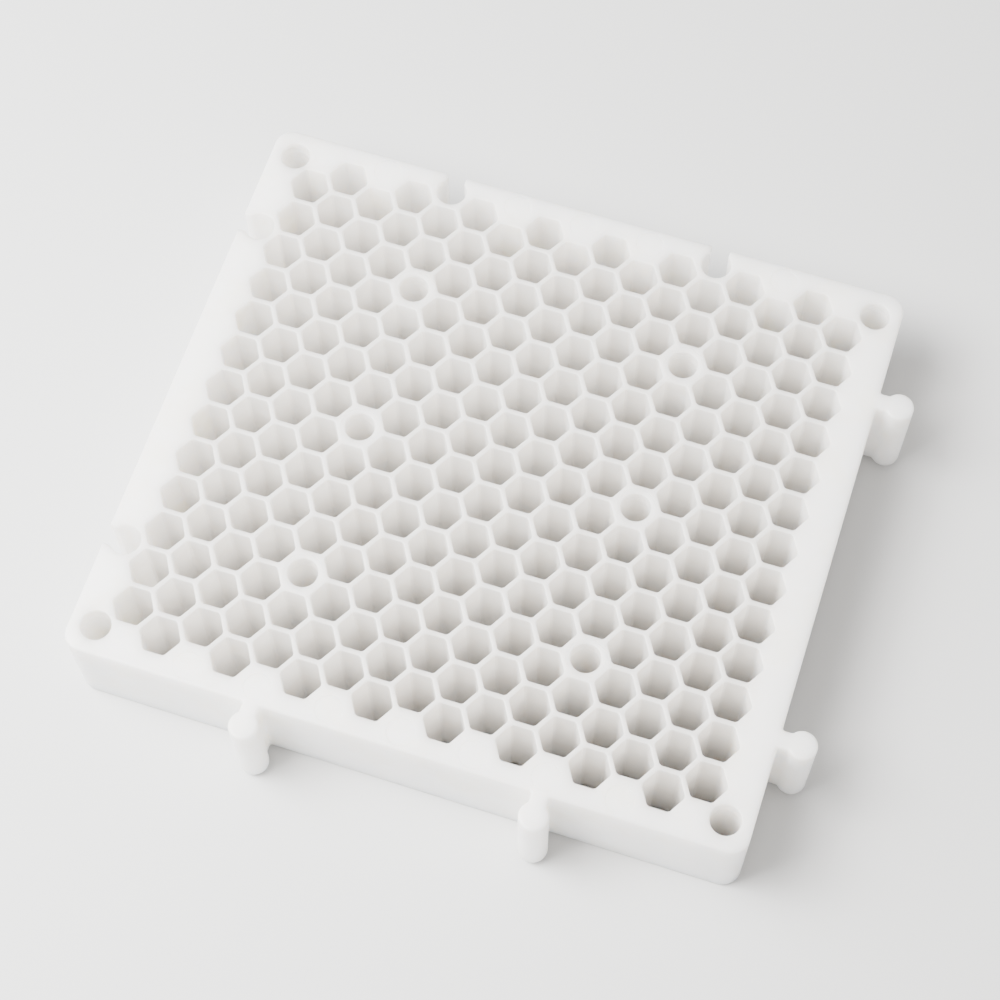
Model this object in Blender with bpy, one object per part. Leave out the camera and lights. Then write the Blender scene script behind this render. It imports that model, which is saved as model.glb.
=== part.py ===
"""Interlocking honeycomb tile: one moulding with open hexagonal cells and a solid rim.

Two lugs on the right side and two on the front slide down into the matching keyhole slots
on the left side and the back of the next tile. Sizes are in millimetres, +Z is up, and the
tile lies on z = 0. The origin is the bottom centre of the box around the tile and its lugs.
"""
import math

import bmesh
import bpy
from mathutils import Vector

MM = 0.001

# Cells: hexagons with corners to the left and right and flats to the front and back
CELL_PITCH = 5.4
CELL_WALL = 0.65
COLUMNS = 17
LONG_COLUMN_CELLS = 14
SHORT_COLUMN_CELLS = 13

# Body
TILE_WIDTH = 88.8
TILE_DEPTH = 80.2
TILE_HEIGHT = 15.0
CORNER_RADIUS = 2.4
CORNER_STEPS = 6

# Round holes: one near each corner, and six that take the place of a cell
HOLE_RADIUS = 1.95
HOLE_SIDES = 24
CORNER_HOLE_X = 40.9
CORNER_HOLE_Y = 36.3
BOSS_COLUMNS = (4, 12)
BOSS_ROWS = (2, 6, 10)

# Lugs and keyhole slots: a neck that ends in a round head
LUG_NECK = 1.15
LUG_HEAD = 1.9
LUG_CENTRE = 2.85
LUG_ROOT = 0.8
LUG_LIFT = 0.7
SLOT_NECK = 1.25
SLOT_HEAD = 2.0
SLOT_CENTRE = 2.65
KEYHOLE_STEPS = 16

# Lug and slot places, on lines between two rows or two columns of cells
SIDE_LINK_Y = 4.5 * CELL_PITCH
FRONT_LINK_X = 4 * CELL_PITCH * math.sqrt(3) / 2

PLASTIC_COLOUR = (0.80, 0.79, 0.76, 1.0)
PLASTIC_ROUGHNESS = 0.42

LUG_REACH = LUG_CENTRE + LUG_HEAD
TILE_CENTRE = Vector((-LUG_REACH / 2, LUG_REACH / 2))


def remove_old_objects():
    for old in list(bpy.data.objects):
        bpy.data.objects.remove(old, do_unlink=True)


def plastic():
    material = bpy.data.materials.new("translucent_plastic")
    material.use_nodes = True
    shader = material.node_tree.nodes["Principled BSDF"]
    shader.inputs["Base Color"].default_value = PLASTIC_COLOUR
    shader.inputs["Roughness"].default_value = PLASTIC_ROUGHNESS
    shader.inputs["Metallic"].default_value = 0.0
    return material


def arc(centre, radius, start, end, steps):
    """Points from angle start to angle end, both ends included."""
    angles = [start + (end - start) * k / steps for k in range(steps + 1)]
    return [centre + radius * Vector((math.cos(a), math.sin(a))) for a in angles]


def circle(centre, radius):
    return arc(centre, radius, 0, math.tau, HOLE_SIDES)[:-1]


def hexagon(centre):
    """A cell's mouth, inside its walls."""
    corner_radius = (CELL_PITCH - CELL_WALL) / math.sqrt(3)
    return arc(centre, corner_radius, 0, math.tau, 6)[:-1]


def lattice():
    """Yields each position's column, row and centre."""
    for column in range(COLUMNS):
        rows = LONG_COLUMN_CELLS if column % 2 else SHORT_COLUMN_CELLS
        x = (column - (COLUMNS - 1) / 2) * CELL_PITCH * math.sqrt(3) / 2
        for row in range(rows):
            yield column, row, Vector((x, (row - (rows - 1) / 2) * CELL_PITCH))


def holes():
    """The outlines of all cells and round holes, about the tile's centre."""
    outlines = []
    for column, row, centre in lattice():
        is_boss = column in BOSS_COLUMNS and row in BOSS_ROWS
        outlines.append(circle(centre, HOLE_RADIUS) if is_boss else hexagon(centre))
    for x in (-CORNER_HOLE_X, CORNER_HOLE_X):
        for y in (-CORNER_HOLE_Y, CORNER_HOLE_Y):
            outlines.append(circle(Vector((x, y)), HOLE_RADIUS))
    return outlines


def keyhole(place, along, neck, head, centre):
    """A keyhole that opens on an edge at place and lies to the left of the way along."""
    left = Vector((-along.y, along.x))
    half_opening = math.asin(neck / head)
    start = -math.pi / 2 - half_opening
    head_arc = arc(Vector((0, centre)), head, start, start - math.tau + 2 * half_opening, KEYHOLE_STEPS)
    local = [Vector((-neck, 0))] + head_arc + [Vector((neck, 0))]
    return [place + p.x * along + p.y * left for p in local]


def body_outline():
    """The tile seen from above, anticlockwise from the front left corner."""
    half_x, half_y = TILE_WIDTH / 2, TILE_DEPTH / 2
    in_x, in_y = half_x - CORNER_RADIUS, half_y - CORNER_RADIUS
    slot = (SLOT_NECK, SLOT_HEAD, SLOT_CENTRE)
    quarter = math.pi / 2
    points = arc(Vector((-in_x, -in_y)), CORNER_RADIUS, 2 * quarter, 3 * quarter, CORNER_STEPS)
    points += arc(Vector((in_x, -in_y)), CORNER_RADIUS, 3 * quarter, 4 * quarter, CORNER_STEPS)
    points += arc(Vector((in_x, in_y)), CORNER_RADIUS, 0, quarter, CORNER_STEPS)
    for x in (FRONT_LINK_X, -FRONT_LINK_X):
        points += keyhole(Vector((x, half_y)), Vector((-1, 0)), *slot)
    points += arc(Vector((-in_x, in_y)), CORNER_RADIUS, quarter, 2 * quarter, CORNER_STEPS)
    for y in (SIDE_LINK_Y, -SIDE_LINK_Y):
        points += keyhole(Vector((-half_x, y)), Vector((0, -1)), *slot)
    return points


def lug_outline(edge_point, outward):
    """One lug, with a root that reaches into the rim."""
    along = Vector((outward.y, -outward.x))
    points = keyhole(edge_point, along, LUG_NECK, LUG_HEAD, LUG_CENTRE)
    points[0] -= LUG_ROOT * outward
    points[-1] -= LUG_ROOT * outward
    return points


def add_prism(bm, outlines, bottom, top):
    """Fills the first outline less the others, and gives it thickness."""
    edges = []
    for outline in outlines:
        ring = [bm.verts.new((*(p + TILE_CENTRE) * MM, top * MM)) for p in outline]
        edges += [bm.edges.new(pair) for pair in zip(ring, ring[1:] + ring[:1])]
    filled = bmesh.ops.triangle_fill(bm, use_beauty=True, edges=edges)
    faces = [item for item in filled["geom"] if isinstance(item, bmesh.types.BMFace)]
    extruded = bmesh.ops.extrude_face_region(bm, geom=faces)
    lowered = [item for item in extruded["geom"] if isinstance(item, bmesh.types.BMVert)]
    bmesh.ops.translate(bm, verts=lowered, vec=(0, 0, (bottom - top) * MM))


def new_object(name, bm):
    bmesh.ops.recalc_face_normals(bm, faces=bm.faces)
    mesh = bpy.data.meshes.new(name)
    bm.to_mesh(mesh)
    bm.free()
    mesh.shade_smooth()
    mesh.set_sharp_from_angle(angle=math.radians(35))
    piece = bpy.data.objects.new(name, mesh)
    bpy.context.scene.collection.objects.link(piece)
    return piece


def lugs():
    """All four lugs, as a guide that the tile is joined with."""
    right, front = Vector((1, 0)), Vector((0, -1))
    bm = bmesh.new()
    for side in (-1, 1):
        beside = lug_outline(Vector((TILE_WIDTH / 2, side * SIDE_LINK_Y)), right)
        before = lug_outline(Vector((side * FRONT_LINK_X, -TILE_DEPTH / 2)), front)
        add_prism(bm, [beside], LUG_LIFT, TILE_HEIGHT)
        add_prism(bm, [before], LUG_LIFT, TILE_HEIGHT)
    guide = new_object("lug_guide", bm)
    guide.hide_render = True
    guide.display_type = "WIRE"
    return guide


def comb_tile():
    bm = bmesh.new()
    add_prism(bm, [body_outline()] + holes(), 0, TILE_HEIGHT)
    tile = new_object("comb_tile", bm)
    tile.data.materials.append(plastic())
    join = tile.modifiers.new("lugs", "BOOLEAN")
    join.operation = "UNION"
    join.object = lugs()
    return tile


remove_old_objects()
comb_tile()
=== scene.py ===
"""Looks of the interlocking honeycomb tile: one moulding of white translucent plastic.

Sizes are in millimetres, as in the CAD source, and MM turns them into metres.
"""
from collections import namedtuple
import math

import bmesh
import bpy
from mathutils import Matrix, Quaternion, Vector


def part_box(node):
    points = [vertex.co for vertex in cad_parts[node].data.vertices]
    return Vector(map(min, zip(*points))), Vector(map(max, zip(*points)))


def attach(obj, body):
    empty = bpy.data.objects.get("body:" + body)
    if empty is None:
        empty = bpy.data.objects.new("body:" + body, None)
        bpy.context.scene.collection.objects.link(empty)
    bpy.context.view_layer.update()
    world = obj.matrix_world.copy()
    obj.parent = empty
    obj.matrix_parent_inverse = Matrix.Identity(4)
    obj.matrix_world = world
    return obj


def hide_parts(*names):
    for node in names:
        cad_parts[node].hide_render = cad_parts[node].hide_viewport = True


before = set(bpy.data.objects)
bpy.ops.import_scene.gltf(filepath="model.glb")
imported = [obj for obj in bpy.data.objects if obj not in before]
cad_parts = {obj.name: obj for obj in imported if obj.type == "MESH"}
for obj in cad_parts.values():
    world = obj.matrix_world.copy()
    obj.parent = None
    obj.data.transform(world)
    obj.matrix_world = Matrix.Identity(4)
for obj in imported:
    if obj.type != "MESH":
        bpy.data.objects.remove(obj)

MM = 0.001

# Cells, as in the CAD source
CELL_PITCH = 5.4
CELL_WALL = 0.65
COLUMNS = 17
LONG_COLUMN_CELLS = 14
SHORT_COLUMN_CELLS = 13
COLUMN_STEP = CELL_PITCH * math.sqrt(3) / 2

# Body, round holes and links, as in the CAD source
TILE_WIDTH = 88.8
TILE_DEPTH = 80.2
TILE_HEIGHT = 15.0
CORNER_RADIUS = 2.4
HOLE_RADIUS = 1.95
CORNER_HOLE_X = 40.9
CORNER_HOLE_Y = 36.3
BOSS_COLUMNS = (4, 12)
BOSS_ROWS = (2, 6, 10)
LUG = {"neck": 1.15, "head": 1.9, "centre": 2.85}
LUG_LIFT = 0.7
SLOT = {"neck": 1.25, "head": 2.0, "centre": 2.65}
SIDE_LINK_Y = 4.5 * CELL_PITCH
FRONT_LINK_X = 4 * COLUMN_STEP

# Moulded detail. The body's bottom rounding starts at the height where the lugs end
TOP_ROUND = 0.35
BOTTOM_ROUND = LUG_LIFT
LUG_END_ROUND = 0.4
CELL_LIP = 0.17
CELL_CHAMFER = 0.35
NECK_FILLET = 0.5
MOUTH_ROUND = 0.32
SLOT_SHARE = 0.35
SLOT_FADE = 1.2
BOSS_RADIUS = 2.58
MARK_RADIUS = 1.85
MARK_DEPTH = 0.12
MARK_SLOPE = 0.08
GROOVE_COUNT = 3
GROOVE_FIRST = 0.7
GROOVE_PITCH = 0.55
GROOVE_WIDTH = 0.25
GROOVE_DEPTH = 0.1
FRONT_MARK_COLUMNS = (2, 4, 6, 8, 10, 12, 14)
BACK_MARK_COLUMNS = (2, 6, 8, 10, 14)
MARK_Y = 7 * CELL_PITCH

# Mesh resolution, and the angle in degrees from which an edge stays sharp
CORNER_STEPS = 10
MOUTH_STEPS = 4
FILLET_STEPS = 4
HEAD_STEPS = 32
CIRCLE_SIDES = 40
TOP_STEPS = 4
BOTTOM_STEPS = 2
SHARP_ANGLE = 28

# Plastic: light goes SCATTER_DISTANCE metres into it, and green and blue a smaller share of that
PLASTIC_ROUGHNESS = 0.34
PLASTIC_IOR = 1.5
SCATTER_SHARES = (1.0, 0.9, 0.8)
SCATTER_DISTANCE = 0.006

# Clouding: the noise's scale and detail, then the noise value at which each colour is reached
CLOUD_NOISE = (180.0, 2.0)
CLOUD_DARK = (0.36, (0.95, 0.905, 0.855, 1))
CLOUD_LIGHT = (0.54, (1.0, 0.98, 0.94, 1))

# Skin: scale of each pattern, then the distance in metres and the strength of its bump
GRAIN_SCALE = 2600.0
GRAIN_BUMP = (0.00004, 0.25)
DRAW_LINE_SCALE = 1500.0
DRAW_LINE_STRETCH = (1, 1, 0.03)
DRAW_LINE_BUMP = (0.00005, 0.35)
TURNED_RING_SCALE = 700.0
TURNED_RING_DISTORTION = 0.6
TURNED_RING_BUMP = (0.00004, 0.5)

# Studio: the floor, the world, and the place, size, power and colour of each light
FLOOR_SIZE = 4.0
FLOOR_COLOUR = (0.60, 0.62, 0.64, 1)
FLOOR_ROUGHNESS = 0.9
WORLD_COLOUR = (1.0, 0.948, 0.893, 1)
WORLD_STRENGTH = 1.2
LIGHTS = {
    "left_softbox": ((-0.24, -0.04, 0.26), 0.2, 2.0, (0.98, 1.0, 0.98)),
    "top_softbox": ((-0.15, -0.09, 0.32), 0.2, 4.6, (1.0, 0.957, 0.91)),
}

# Camera: the point it looks at; azimuth, elevation and roll in degrees; distance in metres
CAMERA_AIM = Vector((-0.48, -2.05, TILE_HEIGHT)) * MM
CAMERA_ANGLES = (18.98, 65.51, -0.98)
CAMERA_DISTANCE = 0.2993
CAMERA_LENS = 84.19

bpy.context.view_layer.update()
tile_low, tile_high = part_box("comb_tile")
TILE_CENTRE = Vector((tile_low[0] / MM + TILE_WIDTH / 2, tile_high[1] / MM - TILE_DEPTH / 2))

# A place on the outline, and how far it follows the rounding of the body and of the lugs' ends
OutlinePoint = namedtuple("OutlinePoint", "place body_share lug_share")


# ---------------------------------------------------------------- outlines

def arc(centre, radius, start, end, steps):
    """Points from angle start to angle end, both ends included."""
    angles = [start + (end - start) * k / steps for k in range(steps + 1)]
    return [centre + radius * Vector((math.cos(a), math.sin(a))) for a in angles]


def circle(centre, radius):
    return arc(centre, radius, 0, math.tau, CIRCLE_SIDES)[:-1]


def hexagon(centre, grow=0.0):
    """A cell with a narrow flat across each corner, or its lip grown outwards."""
    to_corner = ((CELL_PITCH - CELL_WALL) / 2 - CELL_CHAMFER) * 2 / math.sqrt(3)
    points = []
    for k in range(6):
        angle = k * math.pi / 3
        middle = centre + to_corner * Vector((math.cos(angle), math.sin(angle)))
        points += arc(middle, CELL_CHAMFER + grow, angle - math.pi / 6, angle + math.pi / 6, 1)
    return points


def keyhole(place, along, neck, head, centre):
    """A neck and a round head to the left of the way along, with every corner eased."""
    left = Vector((-along.y, along.x))
    wide = neck + NECK_FILLET
    fillet_y = centre - math.sqrt((head + NECK_FILLET) ** 2 - wide ** 2)
    turn = math.atan2(centre - fillet_y, wide)
    mouth = Vector((-neck - MOUTH_ROUND, MOUTH_ROUND))
    side = arc(mouth, MOUTH_ROUND, -math.pi / 2, 0, MOUTH_STEPS)
    side += arc(Vector((-wide, fillet_y)), NECK_FILLET, 0, turn, FILLET_STEPS)
    end = arc(Vector((0, centre)), head, math.pi + turn, -turn, HEAD_STEPS)[1:-1]
    other_side = [Vector((-p.x, p.y)) for p in reversed(side)]
    return [place + p.x * along + p.y * left for p in side + end + other_side]


def body_outline():
    """Outline points, anticlockwise from the front left corner."""
    half_x, half_y = TILE_WIDTH / 2, TILE_DEPTH / 2
    quarter = math.pi / 2
    outline = []

    def add(points, body_share=1.0):
        outline.extend(OutlinePoint(p, body_share, 0.0) for p in points)

    def corner(sign_x, sign_y, start):
        middle = Vector((sign_x * (half_x - CORNER_RADIUS), sign_y * (half_y - CORNER_RADIUS)))
        add(arc(middle, CORNER_RADIUS, start, start + quarter, CORNER_STEPS))

    def lug(x, y, outward):
        along = Vector((outward.y, -outward.x))
        points = keyhole(Vector((x, y)), along, **LUG)[::-1]
        last = len(points) - 1
        for k, p in enumerate(points):
            from_root = min(k, last - k, MOUTH_STEPS) / MOUTH_STEPS
            outline.append(OutlinePoint(p, 1.0, from_root ** 3))

    def slot(x, y, along):
        to_side = (SLOT["neck"] + MOUTH_ROUND + SLOT_FADE) * along
        add([Vector((x, y)) - to_side])
        add(keyhole(Vector((x, y)), along, **SLOT), SLOT_SHARE)
        add([Vector((x, y)) + to_side])

    corner(-1, -1, 2 * quarter)
    lug(-FRONT_LINK_X, -half_y, Vector((0, -1)))
    lug(FRONT_LINK_X, -half_y, Vector((0, -1)))
    corner(1, -1, 3 * quarter)
    lug(half_x, -SIDE_LINK_Y, Vector((1, 0)))
    lug(half_x, SIDE_LINK_Y, Vector((1, 0)))
    corner(1, 1, 0)
    slot(FRONT_LINK_X, half_y, Vector((-1, 0)))
    slot(-FRONT_LINK_X, half_y, Vector((-1, 0)))
    corner(-1, 1, quarter)
    slot(-half_x, SIDE_LINK_Y, Vector((0, -1)))
    slot(-half_x, -SIDE_LINK_Y, Vector((0, -1)))
    return outline


def inset(outline, body=0.0, lug=0.0):
    """The outline's places, moved inwards by as much of both distances as each point takes."""
    places = [point.place for point in outline]
    moved = []
    for k, point in enumerate(outline):
        ways = [places[k] - places[k - 1], places[(k + 1) % len(places)] - places[k]]
        normals = [Vector((-way.y, way.x)).normalized() for way in ways]
        middle = (normals[0] + normals[1]) / (1 + normals[0].dot(normals[1]))
        moved.append(point.place + (body * point.body_share + lug * point.lug_share) * middle)
    return moved


def lattice():
    """Yields each position's column, row and centre."""
    for column in range(COLUMNS):
        rows = LONG_COLUMN_CELLS if column % 2 else SHORT_COLUMN_CELLS
        x = (column - (COLUMNS - 1) / 2) * COLUMN_STEP
        for row in range(rows):
            yield column, row, Vector((x, (row - (rows - 1) / 2) * CELL_PITCH))


# ---------------------------------------------------------------- mesh

def rounding(radius, steps):
    """(inset, distance from the flat face) along a rounded edge, from the flat face down."""
    angles = [math.pi / 2 * (1 - k / steps) for k in range(steps + 1)]
    return [(radius * (1 - math.cos(a)), radius * (1 - math.sin(a))) for a in angles]


def ring(bm, points, z):
    return [bm.verts.new((*(p + TILE_CENTRE) * MM, z * MM)) for p in points]


def pairs_round(items):
    return list(zip(items, items[1:] + items[:1]))


def bridge(bm, upper, lower, material=0):
    for (a, b), (c, d) in zip(pairs_round(upper), pairs_round(lower)):
        bm.faces.new((a, c, d, b)).material_index = material


def wall(bm, stack, material=0):
    """Rings of points at their heights, joined from the first to the last."""
    rings = [ring(bm, points, z) for points, z in stack]
    for upper, lower in zip(rings, rings[1:]):
        bridge(bm, upper, lower, material)
    return rings[0], rings[-1]


def edges_of(bm, loop):
    return [bm.edges.get(pair) or bm.edges.new(pair) for pair in pairs_round(loop)]


def through_hole(bm, outline, top_z, above=(), grooves=(), material=0):
    """A hole with a rounded lip at both ends. outline gives its shape, grown by a distance."""
    stack = list(above)
    stack += [(outline(grow), top_z - drop) for grow, drop in rounding(CELL_LIP, TOP_STEPS)]
    stack += [(outline(grow), top_z - drop) for grow, drop in grooves]
    stack += [(outline(grow), drop) for grow, drop in reversed(rounding(CELL_LIP, BOTTOM_STEPS))]
    return wall(bm, stack, material)


def tool_grooves():
    """(growth, depth) pairs of the fine rings that a turned core pin left near a hole's top."""
    pairs = []
    for k in range(GROOVE_COUNT):
        start = GROOVE_FIRST + k * GROOVE_PITCH
        pairs += [(0, start), (GROOVE_DEPTH, start + GROOVE_WIDTH / 2), (0, start + GROOVE_WIDTH)]
    return pairs


def round_hole(bm, centre, top_z, above=()):
    return through_hole(bm, lambda grow: circle(centre, HOLE_RADIUS + grow), top_z, above,
                        tool_grooves(), material=1)


def boss_hole(bm, centre):
    """A round hole in a low round step, where the mould's sleeve met the part."""
    step = [(circle(centre, BOSS_RADIUS), TILE_HEIGHT),
            (circle(centre, BOSS_RADIUS - MARK_SLOPE), TILE_HEIGHT - MARK_DEPTH)]
    return round_hole(bm, centre, TILE_HEIGHT - MARK_DEPTH, step)


def all_holes(bm):
    """Every cell and round hole; returns their top rings and their bottom rings."""
    ends = []
    for column, row, centre in lattice():
        if column in BOSS_COLUMNS and row in BOSS_ROWS:
            ends.append(boss_hole(bm, centre))
        else:
            ends.append(through_hole(bm, lambda grow, c=centre: hexagon(c, grow), TILE_HEIGHT))
    for x in (-CORNER_HOLE_X, CORNER_HOLE_X):
        for y in (-CORNER_HOLE_Y, CORNER_HOLE_Y):
            ends.append(round_hole(bm, Vector((x, y)), TILE_HEIGHT))
    return [top for top, _ in ends], [bottom for _, bottom in ends]


def ejector_marks(bm):
    """Shallow round recesses in the top rim; returns their rings."""
    tops = []
    places = [(column, -MARK_Y) for column in FRONT_MARK_COLUMNS]
    places += [(column, MARK_Y) for column in BACK_MARK_COLUMNS]
    for column, y in places:
        centre = Vector(((column - (COLUMNS - 1) / 2) * COLUMN_STEP, y))
        top, floor = wall(bm, [(circle(centre, MARK_RADIUS), TILE_HEIGHT),
                               (circle(centre, MARK_RADIUS - MARK_SLOPE), TILE_HEIGHT - MARK_DEPTH)])
        bm.faces.new(floor)
        tops.append(top)
    return tops


def lug_ends(bm, on_lug, level):
    """Closes each lug below, between the two body points beside it."""
    starts = [k for k in range(1, len(on_lug)) if on_lug[k] and not on_lug[k - 1]]
    for start in starts:
        end = on_lug.index(False, start)
        bm.faces.new(level[start - 1:end + 1])


def outer_wall(bm):
    """The sides, slots and lugs; returns the top ring and the bottom ring."""
    outline = body_outline()
    on_lug = [point.lug_share > 0 for point in outline]
    stack = [(inset(outline, body=depth), TILE_HEIGHT - drop)
             for depth, drop in rounding(TOP_ROUND, TOP_STEPS)]
    stack += [(inset(outline, lug=depth), LUG_LIFT + drop)
              for depth, drop in reversed(rounding(LUG_END_ROUND, TOP_STEPS))]
    top, lug_level = wall(bm, stack)
    lug_ends(bm, on_lug, lug_level)

    # From here down only the body goes on
    body = [point for point, skip in zip(outline, on_lug) if not skip]
    body_level = [vert for vert, skip in zip(lug_level, on_lug) if not skip]
    below = list(reversed(rounding(BOTTOM_ROUND, TOP_STEPS)))
    first, bottom = wall(bm, [(inset(body, body=depth), drop) for depth, drop in below[1:]])
    bridge(bm, body_level, first)
    return top, bottom


def fill(bm, loops):
    edges = [edge for loop in loops for edge in edges_of(bm, loop)]
    bmesh.ops.triangle_fill(bm, use_beauty=True, edges=edges)


def tile_mesh():
    bm = bmesh.new()
    outer_top, outer_bottom = outer_wall(bm)
    tops, bottoms = all_holes(bm)
    fill(bm, [outer_top] + tops + ejector_marks(bm))
    fill(bm, [outer_bottom] + bottoms)
    bmesh.ops.recalc_face_normals(bm, faces=bm.faces)
    mesh = bpy.data.meshes.new("comb_moulding")
    bm.to_mesh(mesh)
    bm.free()
    mesh.shade_smooth()
    mesh.set_sharp_from_angle(angle=math.radians(SHARP_ANGLE))
    return mesh


# ---------------------------------------------------------------- materials

def new_material(name):
    """A material with a Principled shader, its nodes and its links."""
    material = bpy.data.materials.new(name)
    material.use_nodes = True
    return material, material.node_tree.nodes, material.node_tree.links


def scaled_position(nodes, links, scale):
    """The object's own coordinates, stretched by a factor on each axis."""
    place = nodes.new("ShaderNodeTexCoord")
    mapping = nodes.new("ShaderNodeMapping")
    mapping.inputs["Scale"].default_value = scale
    links.new(place.outputs["Object"], mapping.inputs["Vector"])
    return mapping.outputs["Vector"]


def noise(nodes, links, vector, scale, detail=3.0):
    texture = nodes.new("ShaderNodeTexNoise")
    texture.inputs["Scale"].default_value = scale
    texture.inputs["Detail"].default_value = detail
    links.new(vector, texture.inputs["Vector"])
    return texture.outputs["Fac"]


def bump(nodes, links, height, distance, strength, under=None):
    node = nodes.new("ShaderNodeBump")
    node.inputs["Distance"].default_value = distance
    node.inputs["Strength"].default_value = strength
    links.new(height, node.inputs["Height"])
    if under is not None:
        links.new(under, node.inputs["Normal"])
    return node.outputs["Normal"]


def plastic(name, turned=False):
    """Milky polyethylene: light goes into it, and its skin has a satin grain and draw lines."""
    material, nodes, links = new_material(name)
    shader = nodes["Principled BSDF"]
    shader.inputs["Roughness"].default_value = PLASTIC_ROUGHNESS
    shader.inputs["IOR"].default_value = PLASTIC_IOR
    shader.inputs["Subsurface Weight"].default_value = 1.0
    shader.inputs["Subsurface Radius"].default_value = SCATTER_SHARES
    shader.inputs["Subsurface Scale"].default_value = SCATTER_DISTANCE

    plain = scaled_position(nodes, links, (1, 1, 1))
    cloud = noise(nodes, links, plain, *CLOUD_NOISE)
    tint = nodes.new("ShaderNodeValToRGB")
    for element, (position, colour) in zip(tint.color_ramp.elements, (CLOUD_DARK, CLOUD_LIGHT)):
        element.position = position
        element.color = colour
    links.new(cloud, tint.inputs["Fac"])
    links.new(tint.outputs["Color"], shader.inputs["Base Color"])

    grain = noise(nodes, links, plain, GRAIN_SCALE)
    skin = bump(nodes, links, grain, *GRAIN_BUMP)
    stretched = scaled_position(nodes, links, DRAW_LINE_STRETCH)
    draw_lines = noise(nodes, links, stretched, DRAW_LINE_SCALE)
    skin = bump(nodes, links, draw_lines, *DRAW_LINE_BUMP, under=skin)
    if turned:
        rings = nodes.new("ShaderNodeTexWave")
        rings.bands_direction = "Z"
        rings.inputs["Scale"].default_value = TURNED_RING_SCALE
        rings.inputs["Distortion"].default_value = TURNED_RING_DISTORTION
        links.new(plain, rings.inputs["Vector"])
        skin = bump(nodes, links, rings.outputs["Fac"], *TURNED_RING_BUMP, under=skin)
    links.new(skin, shader.inputs["Normal"])
    return material


def floor_material():
    material, nodes, _ = new_material("pale_floor")
    shader = nodes["Principled BSDF"]
    shader.inputs["Base Color"].default_value = FLOOR_COLOUR
    shader.inputs["Roughness"].default_value = FLOOR_ROUGHNESS
    return material


# ---------------------------------------------------------------- stage

def add_floor():
    bpy.ops.mesh.primitive_plane_add(size=FLOOR_SIZE, location=(0, 0, 0))
    floor = bpy.context.object
    floor.name = "floor"
    floor.data.materials.append(floor_material())


def add_light(name, place, size, power, colour):
    """A square soft light that faces the tile."""
    data = bpy.data.lights.new(name, "AREA")
    data.size = size
    data.energy = power
    data.color = colour
    light = bpy.data.objects.new(name, data)
    light.location = place
    light.rotation_euler = (-Vector(place)).to_track_quat("-Z", "Y").to_euler()
    bpy.context.scene.collection.objects.link(light)


def add_lights():
    world = bpy.data.worlds.new("studio")
    world.use_nodes = True
    background = world.node_tree.nodes["Background"]
    background.inputs["Color"].default_value = WORLD_COLOUR
    background.inputs["Strength"].default_value = WORLD_STRENGTH
    bpy.context.scene.world = world
    for name, settings in LIGHTS.items():
        add_light(name, *settings)


def add_camera():
    azimuth, elevation, roll = (math.radians(angle) for angle in CAMERA_ANGLES)
    away = Vector((math.sin(azimuth) * math.cos(elevation),
                   -math.cos(azimuth) * math.cos(elevation),
                   math.sin(elevation)))
    data = bpy.data.cameras.new("camera")
    data.lens = CAMERA_LENS
    camera = bpy.data.objects.new("camera", data)
    camera.location = CAMERA_AIM + CAMERA_DISTANCE * away
    camera.rotation_mode = "QUATERNION"
    camera.rotation_quaternion = (-away).to_track_quat("-Z", "Y") @ Quaternion((0, 0, 1), roll)
    bpy.context.scene.collection.objects.link(camera)
    bpy.context.scene.camera = camera


# ---------------------------------------------------------------- scene

add_camera()
add_lights()
add_floor()

moulding = bpy.data.objects.new("comb_moulding", tile_mesh())
bpy.context.scene.collection.objects.link(moulding)
moulding.data.materials.append(plastic("milky_plastic"))
moulding.data.materials.append(plastic("bored_milky_plastic", turned=True))
flat_normals = moulding.modifiers.new("flat_normals", "WEIGHTED_NORMAL")
flat_normals.keep_sharp = True
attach(moulding, "root")
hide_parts("comb_tile")
